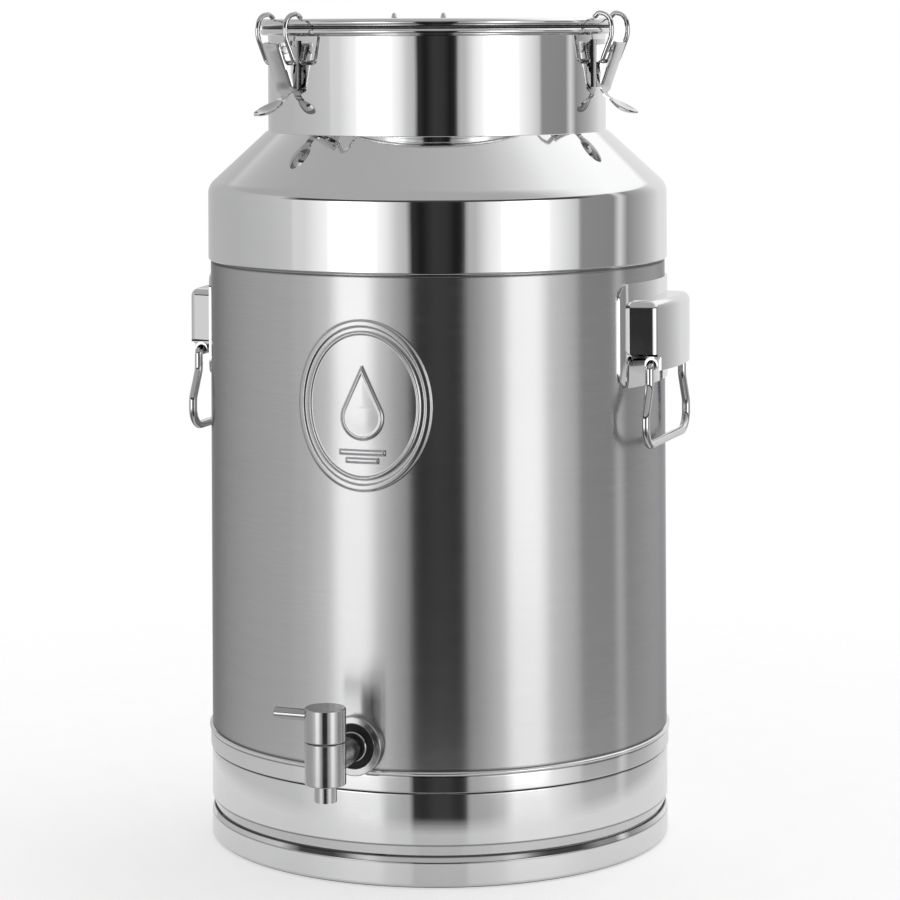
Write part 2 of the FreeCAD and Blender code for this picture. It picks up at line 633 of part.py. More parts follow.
def tap_plug_seals():
    return Part.makeCompound(
        [Part.makeTorus(PLUG_R - 0.73, 0.75, Vector(0, TAP_Y, z)) for z in PLUG_SEAL_Z])


def tap_head():
    """Turning head, with holes for the stem, the lever rod and the grub screw."""
    head = fillet_circles(upright(TAP_R, HEAD_BOTTOM, HEAD_TOP), 1.0)
    head = head.cut(upright(STEM_R + HAIR, 118, STEM_TOP + GAP))
    rod_start = Vector(LEVER_ROD_START + 0.1, TAP_Y, LEVER_ROD_Z)
    head = head.cut(Part.makeCylinder(LEVER_ROD_R, 20, rod_start, Vector(-1, 0, 0)))
    return head.cut(cylinder_y(SCREW_R + GAP, TAP_Y + 3, TAP_Y + 20, z=SCREW_Z))


def tap_head_screw():
    """Grub screw that pins the head to the stem, from the back."""
    screw = cylinder_y(SCREW_R, TAP_Y + STEM_R + GAP, TAP_Y + 14.3, z=SCREW_Z)
    return screw.cut(hexagon_prism(0.9, TAP_Y + 12.0, SCREW_Z, 5))


def tap_lever_rod():
    lever = Part.makeCylinder(LEVER_ROD_R - HAIR, LEVER_ROD_START - LEVER_ROD_END,
                              Vector(LEVER_ROD_START, TAP_Y, LEVER_ROD_Z), Vector(-1, 0, 0))
    return fillet_circles(lever, 1.2, lambda c: abs(c.Center.x - LEVER_ROD_END) < 1e-6)


# ---------------------------------------------------------------------------
# export: each function's name is the name of its piece
# ---------------------------------------------------------------------------
SINGLE_PIECES = (
    body_wall, shoulder_shell, neck_collar, vessel_floor, seam_band, base_skirt, foot_ring,
    lid_disc, lid_seal, lid_handle, lid_handle_rivets,
    tap_boss_ring, tap_gasket_outer, tap_gasket_inner, tap_washer_inner, tap_locknut,
    tap_body, tap_bonnet, tap_plug, tap_plug_seals, tap_head, tap_head_screw, tap_lever_rod)
# pieces built at +X, with the turn about Z of each copy
CLIP_TURNS = {key: azimuth - 90 for key, azimuth in CLIP_AZIMUTH.items()}
HANDLE_TURNS = {"right": 0, "left": 180}
REPEATED_PIECES = (
    ((clip_lever, clip_bail, clip_base, clip_pin), CLIP_TURNS),
    ((handle_plate, handle_bracket, handle_barrel, handle_ring), HANDLE_TURNS))

os.makedirs("parts", exist_ok=True)
for build in SINGLE_PIECES:
    export(build(), build.__name__)
for builders, turns in REPEATED_PIECES:
    for build in builders:
        piece = build()
        for key, angle in turns.items():
            export(turned(piece, angle), "%s_%s" % (build.__name__, key))
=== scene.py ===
import json
import math

import bpy
import bmesh
import numpy as np
from mathutils import Vector, Matrix


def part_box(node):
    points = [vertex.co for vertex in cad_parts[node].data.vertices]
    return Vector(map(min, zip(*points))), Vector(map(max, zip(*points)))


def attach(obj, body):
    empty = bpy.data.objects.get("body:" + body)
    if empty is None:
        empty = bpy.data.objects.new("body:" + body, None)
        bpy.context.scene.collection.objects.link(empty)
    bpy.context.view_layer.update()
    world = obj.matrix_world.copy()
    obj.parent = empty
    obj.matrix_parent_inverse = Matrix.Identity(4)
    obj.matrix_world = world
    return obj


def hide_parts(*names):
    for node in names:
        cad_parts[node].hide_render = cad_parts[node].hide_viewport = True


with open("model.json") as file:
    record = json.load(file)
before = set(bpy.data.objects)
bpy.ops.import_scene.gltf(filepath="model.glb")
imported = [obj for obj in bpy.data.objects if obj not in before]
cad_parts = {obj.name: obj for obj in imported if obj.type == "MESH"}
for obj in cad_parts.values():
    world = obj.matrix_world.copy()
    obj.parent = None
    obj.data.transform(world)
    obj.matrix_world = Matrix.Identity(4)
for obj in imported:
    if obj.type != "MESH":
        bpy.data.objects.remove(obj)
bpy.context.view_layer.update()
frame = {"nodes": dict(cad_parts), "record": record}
NODES = frame["nodes"]
MM = 0.001

# ---------------------------------------------------------------------------
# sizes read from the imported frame
# ---------------------------------------------------------------------------


def bx(node):
    lo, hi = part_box(node)
    return lo, hi


R_WALL = bx("body_wall")[1].x
R_FOOT = bx("foot_ring")[1].x
R_BAND = bx("seam_band")[1].x
R_SKIRT = bx("base_skirt")[1].x
R_SHOULDER = bx("shoulder_shell")[1].x
R_RIM = bx("neck_collar")[1].x
R_LID = bx("lid_disc")[1].x
R_NECK = 0.1336
Z_NECK_TOP = bx("neck_collar")[1].z
Z_LID_TOP = bx("lid_disc")[1].z


# ---------------------------------------------------------------------------
# mesh helpers
# ---------------------------------------------------------------------------
def new_object(name, verts, faces, mat, smooth_angle=35.0):
    me = bpy.data.meshes.new(name)
    me.from_pydata([tuple(v) for v in verts], [], [tuple(f) for f in faces])
    me.validate()
    bm = bmesh.new()
    bm.from_mesh(me)
    bmesh.ops.recalc_face_normals(bm, faces=bm.faces)
    bm.to_mesh(me)
    bm.free()
    for p in me.polygons:
        p.use_smooth = True
    if smooth_angle:
        me.set_sharp_from_angle(angle=math.radians(smooth_angle))
    o = bpy.data.objects.new(name, me)
    bpy.context.scene.collection.objects.link(o)
    me.materials.append(mat)
    return o


def apply_modifiers(o):
    dg = bpy.context.evaluated_depsgraph_get()
    dg.update()
    me = bpy.data.meshes.new_from_object(o.evaluated_get(dg))
    o.modifiers.clear()
    old = o.data
    o.data = me
    me.name = o.name
    return o


def arc(cx, cz, r, a0, a1, n):
    """Points of an arc in the (r, z) plane, angles in degrees."""
    return [(cx + r * math.cos(math.radians(a0 + (a1 - a0) * i / n)), cz + r * math.sin(math.radians(a0 + (a1 - a0) * i / n))) for i in range(n + 1)]


def round_path(points, radii, n=10):
    """An open polyline with rounded corners, as a list of points of any dimension."""
    pts = [np.array(p, float) for p in points]
    out = [pts[0]]
    for i in range(1, len(pts) - 1):
        p, a, b = pts[i], pts[i - 1], pts[i + 1]
        r = radii[i - 1]
        d1 = (p - a) / np.linalg.norm(p - a)
        d2 = (b - p) / np.linalg.norm(b - p)
        c = float(np.clip(d1 @ d2, -1, 1))
        turn = math.acos(c)
        if r <= 0 or turn < 1e-3:
            out.append(p)
            continue
        length = r * math.tan(turn / 2)
        p1 = p - d1 * length
        bis = (d2 - d1) / np.linalg.norm(d2 - d1)
        centre = p + bis * (r / math.cos(turn / 2))
        e1 = p1 - centre
        e2 = d1 * r
        for k in range(n + 1):
            t = turn * k / n
            out.append(centre + e1 * math.cos(t) + e2 * math.sin(t))
    out.append(pts[-1])
    res = [out[0]]
    for p in out[1:]:
        if np.linalg.norm(p - res[-1]) > 1e-7:
            res.append(p)
    return res


def sheet_profile(points, radii, t, n=10):
    """Closed outline of a sheet of thickness t around a rounded centre line (r, z)."""
    path = round_path(points, radii, n)
    k = len(path)
    left, right = [], []
    for i in range(k):
        if i == 0:
            d = path[1] - path[0]
        elif i == k - 1:
            d = path[-1] - path[-2]
        else:
            a = path[i] - path[i - 1]
            b = path[i + 1] - path[i]
            d = a / np.linalg.norm(a) + b / np.linalg.norm(b)
        d = d / np.linalg.norm(d)
        nrm = np.array([-d[1], d[0]])
        s = 1.0
        if 0 < i < k - 1:
            a = path[i] - path[i - 1]
            a = a / np.linalg.norm(a)
            s = 1.0 / max(0.3, abs(float(nrm @ np.array([-a[1], a[0]]))))
        left.append(path[i] + nrm * t / 2 * s)
        right.append(path[i] - nrm * t / 2 * s)
    return [tuple(p) for p in left] + [tuple(p) for p in reversed(right)]


def support(profile, closed=True, gap=0.0005, longest=0.012):
    """Adds points near the ends of long straight runs, so that smooth shading stays in the corners, and splits long runs."""
    out = []
    n = len(profile)
    m = n if closed else n - 1
    for i in range(m):
        a = np.array(profile[i], float)
        b = np.array(profile[(i + 1) % n], float)
        length = np.linalg.norm(b - a)
        out.append(tuple(a))
        if length > 4 * gap:
            u = (b - a) / length
            out.append(tuple(a + u * gap))
            inner = length - 2 * gap
            k = int(inner / longest)
            for j in range(1, k + 1):
                out.append(tuple(a + u * (gap + inner * j / (k + 1))))
            out.append(tuple(b - u * gap))
    if not closed:
        out.append(tuple(profile[-1]))
    return out


def lathe(name, profile, mat, seg=320, sharp=40.0, centre=(0, 0), longest=0.012):
    """A closed (r, z) outline turned about a vertical axis."""
    prof = support(profile, True, longest=longest)
    n = len(prof)
    verts, faces = [], []
    ang = [2 * math.pi * j / seg for j in range(seg)]
    on_axis = [i for i, p in enumerate(prof) if p[0] < 1e-6]
    index = {}
    for i, (r, z) in enumerate(prof):
        if r < 1e-6:
            verts.append((centre[0], centre[1], z))
            for j in range(seg):
                index[(i, j)] = len(verts) - 1
        else:
            for j, a in enumerate(ang):
                index[(i, j)] = len(verts)
                verts.append((centre[0] + r * math.cos(a), centre[1] + r * math.sin(a), z))
    for i in range(n):
        i2 = (i + 1) % n
        if i in on_axis and i2 in on_axis:
            continue
        for j in range(seg):
            j2 = (j + 1) % seg
            q = [index[(i, j)], index[(i, j2)], index[(i2, j2)], index[(i2, j)]]
            u = []
            for v in q:
                if v not in u:
                    u.append(v)
            if len(u) >= 3:
                faces.append(u)
    return new_object(name, verts, faces, mat, sharp)


def tube(name, points, radii, r, mat, ring=20, n=10, cap=0.35, step=0.004):
    """A round bar along a rounded path in space, with softly rounded ends."""
    path = [np.array(p, float) for p in round_path(points, radii, n)]
    dense = [path[0]]
    for p in path[1:]:
        d = np.linalg.norm(p - dense[-1])
        k = max(1, int(d / step))
        a = dense[-1]
        for j in range(1, k + 1):
            dense.append(a + (p - a) * j / k)
    path = dense
    tang = []
    for i in range(len(path)):
        a = path[max(i - 1, 0)]
        b = path[min(i + 1, len(path) - 1)]
        tang.append((b - a) / np.linalg.norm(b - a))
    t0 = tang[0]
    ref = np.array([0, 0, 1.0]) if abs(t0[2]) < 0.9 else np.array([1.0, 0, 0])
    nrm = np.cross(t0, ref)
    nrm /= np.linalg.norm(nrm)
    frames = []
    for i, t in enumerate(tang):
        nrm = nrm - t * (nrm @ t)
        nrm /= np.linalg.norm(nrm)
        frames.append((nrm.copy(), np.cross(t, nrm)))
    rings = []
    c = r * cap
    rings.append((path[0] + tang[0] * 0.0, r - c))
    for k in range(1, 4):
        a = math.pi / 2 * k / 3
        rings.append((path[0] + tang[0] * (c - c * math.cos(a)), r - c + c * math.sin(a)))
    body = [(p, r) for p in path[1:-1] if np.linalg.norm(p - path[0]) > c * 1.5 and np.linalg.norm(p - path[-1]) > c * 1.5]
    keep = [i for i, p in enumerate(path) if 0 < i < len(path) - 1 and np.linalg.norm(p - path[0]) > c * 1.5 and np.linalg.norm(p - path[-1]) > c * 1.5]
    all_rings = [(q, rr, frames[0]) for q, rr in rings]
    all_rings += [(path[i], r, frames[i]) for i in keep]
    for k in range(0, 4):
        a = math.pi / 2 * (1 - k / 3)
        all_rings.append((path[-1] - tang[-1] * (c - c * math.cos(a)), r - c + c * math.sin(a), frames[-1]))
    verts, faces = [], []
    for q, rr, (e1, e2) in all_rings:
        for j in range(ring):
            a = 2 * math.pi * j / ring
            verts.append(q + e1 * rr * math.cos(a) + e2 * rr * math.sin(a))
    m = len(all_rings)
    for i in range(m - 1):
        for j in range(ring):
            j2 = (j + 1) % ring
            faces.append((i * ring + j, i * ring + j2, (i + 1) * ring + j2, (i + 1) * ring + j))
    faces.append(tuple(range(ring))[::-1])
    faces.append(tuple((m - 1) * ring + j for j in range(ring)))
    return new_object(name, verts, faces, mat, 50.0)


# ---------------------------------------------------------------------------
# materials: all procedural
# ---------------------------------------------------------------------------
class Mat:
    def __init__(self, name):
        self.m = bpy.data.materials.new(name)
        self.m.use_nodes = True
        self.t = self.m.node_tree
        self.t.nodes.clear()
        self.out = self.t.nodes.new("ShaderNodeOutputMaterial")
        self.b = self.t.nodes.new("ShaderNodeBsdfPrincipled")
        self.t.links.new(self.b.outputs[0], self.out.inputs[0])

    def n(self, kind, **kw):
        node = self.t.nodes.new(kind)
        for k, v in kw.items():
            if k.startswith("i_"):
                node.inputs[k[2:].replace("_", " ")].default_value = v
            else:
                setattr(node, k, v)
        return node

    def link(self, a, b):
        self.t.links.new(a, b)

    def math(self, op, a, b=None, clamp=False):
        node = self.t.nodes.new("ShaderNodeMath")
        node.operation = op
        node.use_clamp = clamp
        for i, x in enumerate((a, b)):
            if x is None:
                continue
            if isinstance(x, (int, float)):
                node.inputs[i].default_value = x
            else:
                self.link(x, node.inputs[i])
        return node.outputs[0]

    def position(self):
        return self.n("ShaderNodeTexCoord").outputs["Object"]

    def cylindrical(self, cx=0.0, cy=0.0):
        """(angle * R, radius, z) from the object's coordinates."""
        sep = self.n("ShaderNodeSeparateXYZ")
        self.link(self.position(), sep.inputs[0])
        x = self.math("SUBTRACT", sep.outputs[0], cx)
        y = self.math("SUBTRACT", sep.outputs[1], cy)
        a = self.math("ARCTAN2", y, x)
        r = self.math("SQRT", self.math("ADD", self.math("MULTIPLY", x, x), self.math("MULTIPLY", y, y)))
        return a, r, sep.outputs[2], sep

    def combine(self, x, y, z):
        c = self.n("ShaderNodeCombineXYZ")
        for i, v in enumerate((x, y, z)):
            if isinstance(v, (int, float)):
                c.inputs[i].default_value = v
            else:
                self.link(v, c.inputs[i])
        return c.outputs[0]

    def noise(self, vec, scale, detail=2.0, rough=0.5, dims="3D"):
        nz = self.n("ShaderNodeTexNoise")
        nz.noise_dimensions = dims
        nz.inputs["Scale"].default_value = scale
        nz.inputs["Detail"].default_value = detail
        nz.inputs["Roughness"].default_value = rough
        self.link(vec, nz.inputs["Vector"])
        return nz.outputs["Fac"]

    def ramp(self, fac, stops):
        r = self.n("ShaderNodeValToRGB")
        e = r.color_ramp.elements
        while len(e) > 1:
            e.remove(e[-1])
        e[0].position = stops[0][0]
        e[0].color = stops[0][1]
        for p, c in stops[1:]:
            x = e.new(p)
            x.color = c
        self.link(fac, r.inputs[0])
        return r.outputs[0]

    def remap(self, fac, a0, a1, b0, b1):
        m = self.n("ShaderNodeMapRange")
        self.link(fac, m.inputs[0])
        for i, v in enumerate((a0, a1, b0, b1)):
            m.inputs[i + 1].default_value = v
        return m.outputs[0]

    def bump(self, height, strength, distance, normal=None):
        b = self.n("ShaderNodeBump")
        b.inputs["Strength"].default_value = strength
        b.inputs["Distance"].default_value = distance
        self.link(height, b.inputs["Height"])
        if normal is not None:
            self.link(normal, b.inputs["Normal"])
        return b.outputs[0]


def g(v):
    return (v, v, v, 1.0)


def polished(name, base=0.83, rough=0.022, wave=0.22, lines=0.06, cx=0.0, cy=0.0, dark=None, span=(0.0, 100.0)):
    """Mirror-polished stainless: very low roughness, a slow waviness in the reflections, faint lathe lines and smudges."""
    m = Mat(name)
    b = m.b
    b.inputs["Metallic"].default_value = 1.0
    pos = m.position()
    a, r, z, _ = m.cylindrical(cx, cy)
    smudge = m.noise(pos, 22.0, 5.0, 0.6)
    fine = m.noise(pos, 160.0, 3.0, 0.6)
    rr = m.math("ADD", m.remap(smudge, 0.48, 0.78, rough, rough + 0.05), m.remap(fine, 0.4, 0.8, 0.0, 0.015))
    m.link(rr, b.inputs["Roughness"])
    tone = m.noise(pos, 9.0, 3.0, 0.55)
    col = m.ramp(tone, [(0.3, (base * 0.955, base * 0.958, base * 0.965, 1)), (0.7, (base, base * 1.0, base * 1.004, 1))])
    # when given, painted shade lines darken the colour along the seams and creases
    if dark:
        col = paint_seam_shade(m, col, z, dark, *span)
    m.link(col, b.inputs["Base Color"])
    slow = m.noise(pos, 7.0, 1.0, 0.4)
    turn_lines = m.noise(m.combine(m.math("MULTIPLY", a, 0.5), 0.0, m.math("MULTIPLY", z, 900.0)), 1.0, 3.0, 0.7)
    n1 = m.bump(slow, wave, 0.004)
    n2 = m.bump(turn_lines, lines, 0.00004, n1)
    m.link(n2, b.inputs["Normal"])
    return m.m


def paint_seam_shade(m, col, z, lines, lo, hi):
    """Painted shade along the rolled seams and creases, multiplied into the colour: (height, half width, tone) in mm.
    """
    stops = [(0.0, g(1.0))]
    for zc, hw, v in sorted(lines):
        for p, val in ((zc - hw * 1.5, 1.0), (zc - hw * 0.6, v), (zc + hw * 0.6, v), (zc + hw * 1.5, 1.0)):
            stops.append(((p - lo) / (hi - lo), g(val)))
    # painted shade: the colour drops to the given tone around each seam height
    tone = m.ramp(m.math("DIVIDE", m.math("SUBTRACT", z, lo * MM), (hi - lo) * MM), stops)
    mx = m.n("ShaderNodeMix")
    mx.data_type = "RGBA"
    mx.blend_type = "MULTIPLY"
    mx.inputs["Factor"].default_value = 1.0
    m.link(col, mx.inputs["A"])
    m.link(tone, mx.inputs["B"])
    return mx.outputs["Result"]


def brushed(name):
    """Brushed cylinder: fine lines around the can, in roughness, tone and bump, with anisotropic highlights."""
    m = Mat(name)
    b = m.b
    b.inputs["Metallic"].default_value = 1.0
    a, r, z, sep = m.cylindrical()
    zz = m.math("MULTIPLY", z, 2600.0)
    fine = m.noise(m.combine(m.math("MULTIPLY", a, 9.0), 0.0, zz), 1.0, 4.0, 0.75)
    zz2 = m.math("MULTIPLY", z, 700.0)
    mid = m.noise(m.combine(m.math("MULTIPLY", a, 4.0), 3.0, zz2), 1.0, 3.0, 0.7)
    zz3 = m.math("MULTIPLY", z, 90.0)
    broad = m.noise(m.combine(m.math("MULTIPLY", a, 1.6), 7.0, zz3), 1.0, 2.0, 0.5)
    cloud = m.noise(m.position(), 6.0, 3.0, 0.5)
    mix = m.math("ADD", m.math("MULTIPLY", fine, 0.5), m.math("MULTIPLY", mid, 0.35))
    mix = m.math("ADD", mix, m.math("MULTIPLY", broad, 0.15))
    rough = m.math("ADD", m.remap(mix, 0.3, 0.7, 0.20, 0.25), m.remap(cloud, 0.3, 0.7, -0.01, 0.015))
    m.link(rough, b.inputs["Roughness"])
    col = m.ramp(mix, [(0.25, (0.54, 0.54, 0.545, 1)), (0.5, (0.60, 0.60, 0.605, 1)), (0.78, (0.67, 0.67, 0.675, 1))])
    # painted shade: dark lines at the band's top seam and in the groove under the shoulder's lip
    col = paint_seam_shade(m, col, z, [(86.3, 0.5, 0.35), (448.9, 1.1, 0.30)], 50.0, 470.0)
    m.link(col, b.inputs["Base Color"])
    b.inputs["Anisotropic"].default_value = 0.95
    b.inputs["Specular Tint"].default_value = (0.45, 0.45, 0.46, 1)
    b.inputs["Anisotropic Rotation"].default_value = 0.25
    tan = m.n("ShaderNodeTangent")
    tan.direction_type = "RADIAL"
    tan.axis = "Z"
    m.link(tan.outputs[0], b.inputs["Tangent"])
    n1 = m.bump(mix, 0.22, 0.00005)
    m.link(n1, b.inputs["Normal"])
    return m.m


def satin(name, base=0.56, rough=0.12, cx=0.0, cy=0.0, scale=1600.0, up=True, wear=True):
    """Turned stainless: fine rings from the tool, soft wear."""
    m = Mat(name)
    b = m.b
    b.inputs["Metallic"].default_value = 1.0
    pos = m.position()
    a, r, z, sep = m.cylindrical(cx, cy)
    along = z if up else sep.outputs[1]
    lines = m.noise(m.combine(m.math("MULTIPLY", a, 0.6), m.math("MULTIPLY", r, 900.0) if up else 0.0, m.math("MULTIPLY", along, scale)), 1.0, 3.0, 0.7)
    cloud = m.noise(pos, 60.0, 4.0, 0.6)
    rr = m.math("ADD", m.remap(lines, 0.3, 0.7, rough - 0.03, rough + 0.06), m.remap(cloud, 0.4, 0.75, 0.0, 0.08))
    m.link(rr, b.inputs["Roughness"])
    col = m.ramp(cloud, [(0.3, (base * 0.93, base * 0.93, base * 0.94, 1)), (0.7, (base, base, base * 1.005, 1))])
    m.link(col, b.inputs["Base Color"])
    n1 = m.bump(lines, 0.25, 0.00003)
    n2 = m.bump(cloud, 0.08, 0.0002, n1)
    m.link(n2, b.inputs["Normal"])
    return m.m


def wire_steel(name, base=0.70, rough=0.045):
    """Bright drawn wire and pressed sheet: near mirror, with short drawing marks and a few scuffs."""
    m = Mat(name)
    b = m.b
    b.inputs["Metallic"].default_value = 1.0
    pos = m.position()
    cloud = m.noise(pos, 90.0, 4.0, 0.65)
    fine = m.noise(pos, 900.0, 2.0, 0.6)
    scuff = m.noise(pos, 260.0, 5.0, 0.75)
    rr = m.math("ADD", m.remap(cloud, 0.35, 0.75, rough, rough + 0.06), m.remap(scuff, 0.58, 0.72, 0.0, 0.08))
    m.link(rr, b.inputs["Roughness"])
    col = m.ramp(cloud, [(0.3, (base * 0.92, base * 0.92, base * 0.93, 1)), (0.7, (base, base, base * 1.004, 1))])
    m.link(col, b.inputs["Base Color"])
    n1 = m.bump(cloud, 0.12, 0.0004)
    n2 = m.bump(fine, 0.10, 0.00003, n1)
    m.link(n2, b.inputs["Normal"])
    return m.m


def rubber(name, col=(0.012, 0.012, 0.013), rough=0.62):
    m = Mat(name)
    b = m.b
    pos = m.position()
    grain = m.noise(pos, 1400.0, 3.0, 0.7)
    cloud = m.noise(pos, 120.0, 3.0, 0.6)
    c = m.ramp(cloud, [(0.3, (col[0] * 0.8, col[1] * 0.8, col[2] * 0.8, 1)), (0.75, (col[0] * 1.5, col[1] * 1.5, col[2] * 1.5, 1))])
    m.link(c, b.inputs["Base Color"])
    m.link(m.remap(grain, 0.3, 0.7, rough - 0.08, rough + 0.12), b.inputs["Roughness"])
    m.link(m.bump(grain, 0.25, 0.00008), b.inputs["Normal"])
    return m.m


M_POL = polished("polished_stainless")
# the dark list paints shade into the colour at the band, the skirt groove, the foot creases and along the bottom edge
M_POL_BASE = polished("polished_stainless_base", rough=0.03, wave=0.35, dark=[(82.4, 0.45, 0.35), (69.6, 0.8, 0.20), (31.4, 0.6, 0.42), (22.9, 0.6, 0.28), (18.5, 0.45, 0.45), (0.6, 0.6, 0.30)])
M_BRACKET = polished("polished_bracket", base=0.80, rough=0.07, wave=0.6)
M_BRUSH = brushed("brushed_stainless")
M_FIT = wire_steel("bright_fittings")
M_TAP = satin("satin_tap", base=0.53, cx=0.0, cy=-0.2385)
M_SHANK = satin("satin_shank", up=False)
M_RUB = rubber("black_rubber")
M_SIL = rubber("grey_silicone", col=(0.09, 0.09, 0.095), rough=0.5)
M_IN = satin("inside_stainless", base=0.66, rough=0.25, scale=900.0)

slot_of = {s["node"]: s["material_slot"] for s in frame["record"]["subparts"]}
for n, o in NODES.items():
    o.data.materials.clear()
    s = slot_of.get(n, "")
    mat = {"wall_brushed": M_BRUSH, "shell_polished": M_POL, "fittings_steel": M_FIT, "tap_satin": M_TAP, "rubber_black": M_RUB, "silicone_grey": M_SIL}.get(s, M_FIT)
    if n == "vessel_floor":
        mat = M_IN
    if n.startswith("handle_bracket"):
        mat = M_BRACKET
    o.data.materials.append(mat)


def stand(o, body, slot, *nodes):
    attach(o, body)
    if nodes:
        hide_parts(*nodes)
    return o


# ---------------------------------------------------------------------------
# turned shells
# ---------------------------------------------------------------------------
def mmp(pts):
    return [(p[0] * MM, p[1] * MM) for p in pts]


# brushed wall with its pressed cartouche
def smooth(x):
    x = np.clip(x, 0, 1)
    return x * x * (3 - 2 * x)


def relief(u, v):
    """Height in mm of the pressed panel at u (mm to the right) and v (mm up) from its centre."""
    def plateau(dist, half, edge):
        return smooth((half + edge - np.abs(dist)) / edge)

    def sd_oval(a, b):
        k = np.sqrt((u / a) ** 2 + (v / b) ** 2)
        k2 = np.sqrt((u / a ** 2) ** 2 + (v / b ** 2) ** 2) + 1e-9
        return k * (k - 1) / k2

    outer = plateau(sd_oval(50.0, 60.5), 1.5, 1.4)
    inner = plateau(sd_oval(43.0, 53.5), 0.5, 1.0) * 0.7
    # plain drop
    cy, s = -9.0, 16.0
    ang = math.radians(28)
    dx = np.abs(u)
    vv = v - cy
    tip = 38.0
    circle = np.sqrt(u ** 2 + vv ** 2) - s
    tx, ty = s * math.cos(ang), s * math.sin(ang)
    ex, ey = -tx, tip - ty
    ln = math.hypot(ex, ey)
    nx, ny = ey / ln, -ex / ln
    cone = (dx - tx) * nx + (vv - ty) * ny
    drop = np.where(vv > ty, np.maximum(cone, vv - tip), circle)
    dome = smooth((1.0 - drop) / 2.2)
    rim = smooth((1.4 - np.abs(drop + 1.2)) / 1.2) * 0.35
    body = dome * (0.75 + 0.35 * smooth(-drop / 14.0)) + rim * dome
    # bars at the foot of the panel
    bars = np.zeros_like(u)
    for k, (bz, half) in enumerate(((-34.5, 17.0), (-40.5, 12.0))):
        d = np.maximum(np.abs(v - bz) - 1.1, np.abs(u) - half)
        bars = np.maximum(bars, smooth((1.0 - d) / 1.3) * 0.75)
    return np.maximum.reduce([outer, inner, body, bars])


def build_wall():
    cz = 353.5
    fine_half = math.degrees(56.0 / 179.4)
    mid = -90 + 1.9                       # the panel sits a touch to the right of the tap
    cols = list(np.linspace(mid - fine_half, mid + fine_half, 190))
    rest = 360 - 2 * fine_half
    k = 228
    cols += [(mid + fine_half + rest * j / k) for j in range(1, k)]
    cols = np.radians(np.array(cols))
    rows = list(np.linspace(70.0, 72.0, 2)) + list(np.linspace(80, cz - 66, 26)) + list(np.linspace(cz - 65.3, cz + 65.3, 225)) + list(np.linspace(cz + 66, 447.0, 10))
    rows += [447.9, 448.3, 448.6, 449.0, 450.4, 452.0, 457.0, 462.0]
    rows = np.array(rows)
    ro = R_WALL * 1000
    A, Z = np.meshgrid(cols, rows)
    u = A - math.radians(mid)
    u = (u + math.pi) % (2 * math.pi) - math.pi
    h = relief(u * ro, Z - cz) * 1.05
    h[np.abs(u) * ro > 55.5] = 0
    h[(np.abs(Z - cz) > 65)] = 0
    h = h - 0.55 * smooth((Z - 448.2) / 0.6) * (Z < 451.0)      # narrow rolled groove just under the shoulder's lip
    R = ro + h
    X, Y = R * np.cos(A), R * np.sin(A)
    n, m = len(rows), len(cols)
    outer = np.stack([X, Y, Z], -1).reshape(-1, 3)
    zin = np.array([462.0, 360.0, 230.0, 110.0, 70.0])
    ri = ro - 1.0
    inner = np.array([(ri * math.cos(a), ri * math.sin(a), z) for z in zin for a in cols])
    verts = np.vstack([outer, inner]) * MM
    faces = []

    def grid(base, rows_n):
        for i in range(rows_n - 1):
            for j in range(m):
                j2 = (j + 1) % m
                faces.append((base + i * m + j, base + i * m + j2, base + (i + 1) * m + j2, base + (i + 1) * m + j))

    grid(0, n)
    grid(n * m, len(zin))
    for j in range(m):
        j2 = (j + 1) % m
        faces.append(((n - 1) * m + j, (n - 1) * m + j2, n * m + j2, n * m + j))
        faces.append(((n * m + (len(zin) - 1) * m) + j, (n * m + (len(zin) - 1) * m) + j2, j2, j))
    return new_object("wall_shell", verts, faces, M_BRUSH, 60.0)


wall = stand(build_wall(), "can", "wall_brushed", "body_wall")

RS = R_SHOULDER * 1000
ts = 1.75
top = round_path([(RS, 470.0), (RS, 507.75), (135.2, 550.1)], [12.9], 20)
low = round_path([(133.62, 549.2), (RS - ts, 506.95), (RS - ts, 450.0)], [11.1], 20)
sh_prof = (arc(RS - 1.7, 451.7, 1.7, -88, 0, 9)
           + [tuple(p) for p in top] + [(133.62, 550.2)] + [tuple(p) for p in low])
shoulder = stand(lathe("shoulder_polished", mmp(sh_prof), M_POL), "can", "shell_polished", "shoulder_shell")

RR = R_RIM * 1000
zt = Z_NECK_TOP * 1000
neck_prof = [(132.6, 544.0), (133.6, 544.0), (133.6, 625.2)]
neck_prof += arc(134.6, 625.2, 1.0, 180, 135, 4)[1:]
neck_prof += arc(RR - 2.75, zt - 2.75, 2.75, -100, 85, 16)
neck_prof += [(133.4, zt)] + arc(133.6, zt - 1.0, 1.0, 95, 180, 4)
neck = stand(lathe("neck_polished", mmp(neck_prof), M_POL), "can", "shell_polished", "neck_collar")

RB = R_BAND * 1000 - 1.0       # flat of the band, below its bead
band_prof = ([(179.41, 70.05), (RB - 0.55, 70.05)] + arc(RB - 0.6, 70.65, 0.6, -75, 0, 5) + [(RB, 81.9), (RB - 0.15, 82.4), (RB - 0.1, 82.8)]
             + arc(RB - 0.55, 84.3, 1.5, -70, 95, 12) + [(179.41, 86.0)])
band = stand(lathe("band_polished", mmp(band_prof), M_POL_BASE), "can", "shell_polished", "seam_band")
RK = R_SKIRT * 1000
hook_s = [(RK - 1.2, 69.2), (RK - 0.5, 69.0), (RK - 0.5, 31.5), (176.5, 23.0), (176.5, 6.0)]
skirt_prof = sheet_profile(hook_s, [0.6, 5.0, 6.0], 1.0, 12)
skirt = stand(lathe("skirt_polished", mmp(skirt_prof), M_POL_BASE), "can", "shell_polished", "base_skirt")
rf = R_FOOT * 1000
foot_prof = sheet_profile([(174.5, 0.5), (rf - 0.5, 0.5), (rf - 0.5, 18.6), (177.9, 22.4)], [2.4, 2.6], 1.0, 12)
foot = stand(lathe("foot_polished", mmp(foot_prof), M_POL_BASE), "can", "shell_polished", "foot_ring")

